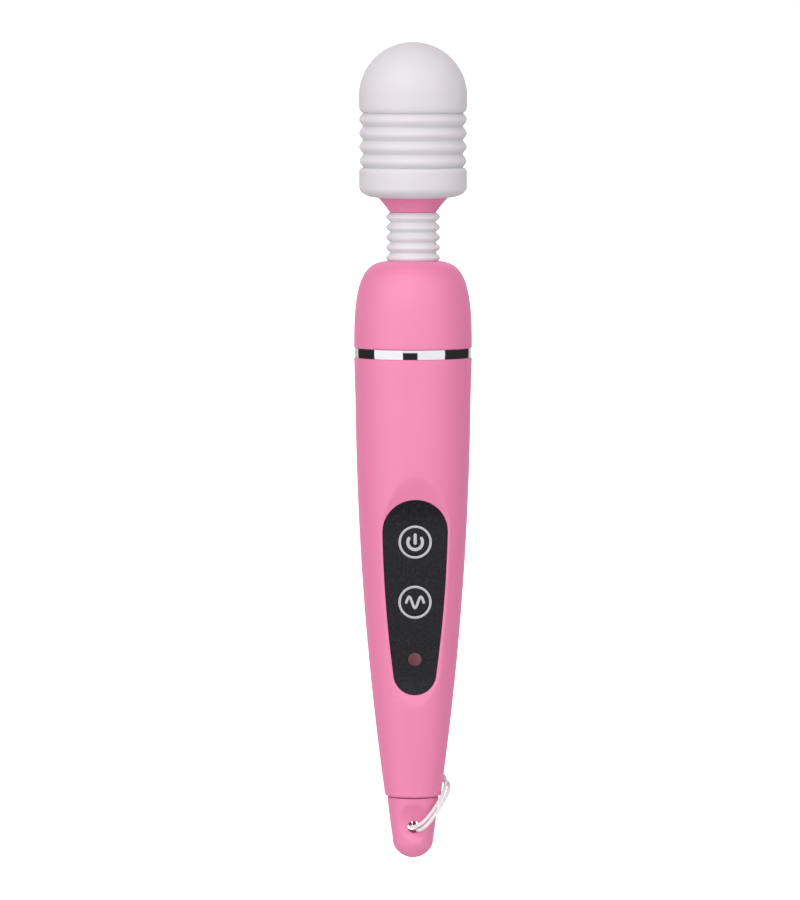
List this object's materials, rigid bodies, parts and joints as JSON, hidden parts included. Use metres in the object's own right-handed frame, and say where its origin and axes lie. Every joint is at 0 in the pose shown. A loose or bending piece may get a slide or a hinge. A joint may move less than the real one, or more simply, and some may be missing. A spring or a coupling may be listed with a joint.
{
  "type": "handheld wand massager",
  "caption": "Rechargeable wand massager: soft ribbed round head on a flexible bellows neck, tapered grip with a sunken button panel, and a pull-off end cap with a hanging loop.",
  "frame": {"origin": "on the long axis, at the lowest point of the end cap's tip", "axes": "+Z along the wand from the end cap to the head; the control panel faces -Y; +X to the right of someone looking at the panel"},
  "size_m": [0.0354, 0.0354, 0.2451],
  "materials": {
    "pink": "soft-touch pink",
    "silicone": "matte white silicone",
    "chrome_trim": "polished chrome plate",
    "silver_ring": "satin silver",
    "black_panel": "black with a fine grain",
    "silver_print": "silver print",
    "red_lens": "translucent dusty red",
    "black_plastic": "moulded",
    "white_plastic": "moulded",
    "grey_plastic": "moulded",
    "green_board": "solder mask",
    "lamp_red": "clear red",
    "seal_rubber": "smooth",
    "pad_foam": "foam",
    "sleeve_rubber": "moulded",
    "steel": "zinc plated",
    "spring_steel": "drawn wire",
    "cell_wrap": "shrink wrap",
    "nickel": "nickel strip",
    "gold_contact": "gold plated",
    "bronze": "sintered bronze",
    "magnet": "ferrite",
    "copper": "enamelled copper",
    "brass_weight": "turned",
    "lead_red": "insulation",
    "lead_black": "insulation",
    "cord_white": "braided"
  },
  "bodies": {
    "handle": {"grip_shell": "pink", "shoulder_shell": "pink", "trim_ring": "chrome_trim", "shoulder_seal": "seal_rubber", "control_panel": "black_panel", "power_bezel": "silver_ring", "mode_bezel": "silver_ring", "indicator_lens": "red_lens", "indicator_lamp": "lamp_red", "circuit_board": "green_board", "board_parts": "black_plastic", "lead_connectors": "white_plastic", "push_switches": "black_plastic", "board_screws": "steel", "cell_cradle": "grey_plastic", "cradle_screws": "steel", "battery_cell": "cell_wrap", "battery_contacts": "nickel", "cell_pads": "pad_foam", "battery_leads": "lead_red", "motor_harness": "lead_red", "charge_leads": "lead_black", "tail_spigot": "pink", "tail_seal": "seal_rubber", "charge_socket": "black_plastic", "socket_contacts": "gold_contact", "neck_seat": "grey_plastic", "seat_screws": "steel"},
    "neck": {"neck_bellows": "silicone", "neck_spring": "spring_steel", "neck_leads": "lead_red"},
    "head": {"head_cone": "pink", "head_core": "white_plastic", "head_cap": "silicone", "head_screws": "steel", "upper_seat": "grey_plastic", "motor_can": "steel", "motor_endbell": "white_plastic", "motor_magnets": "magnet", "motor_bushes": "bronze", "motor_sleeve": "sleeve_rubber", "motor_terminals": "gold_contact"},
    "rotor": {"motor_shaft": "steel", "motor_armature": "copper", "eccentric_weight": "brass_weight"},
    "power_key": {"power_button": "black_panel", "power_symbol": "silver_print", "power_plunger": "white_plastic"},
    "mode_key": {"mode_button": "black_panel", "mode_symbol": "silver_print", "mode_plunger": "white_plastic"},
    "tail": {"end_cap": "pink", "hanging_loop": "cord_white"}
  },
  "joints": [
    {"name": "neck_bend_side", "type": "hinge", "parent": "handle", "child": "neck", "pos_m": [0, 0, 0.187], "axis": [0, 1, 0], "range_deg": [-15, 15], "stiffness_Nm_per_rad": 1.5, "deforming": ["neck_bellows", "neck_spring", "neck_leads"]},
    {"name": "neck_bend_front", "type": "hinge", "parent": "neck", "child": "head", "pos_m": [0, 0, 0.187], "axis": [1, 0, 0], "range_deg": [-15, 15], "stiffness_Nm_per_rad": 1.5},
    {"name": "eccentric_spin", "type": "hinge", "parent": "head", "child": "rotor", "pos_m": [0, 0, 0.2], "axis": [0, 0, 1], "continuous": true},
    {"name": "power_press", "type": "slide", "parent": "handle", "child": "power_key", "axis": [0, 0.9991, 0.0429], "range_m": [0, 0.0005], "stiffness_N_per_m": 800, "springref_m": -0.0005},
    {"name": "mode_press", "type": "slide", "parent": "handle", "child": "mode_key", "axis": [0, 0.9991, 0.0429], "range_m": [0, 0.0005], "stiffness_N_per_m": 800, "springref_m": -0.0005},
    {"name": "cap_pull", "type": "slide", "parent": "handle", "child": "tail", "axis": [0, 0, -1], "range_m": [0, 0.03]}
  ]
}
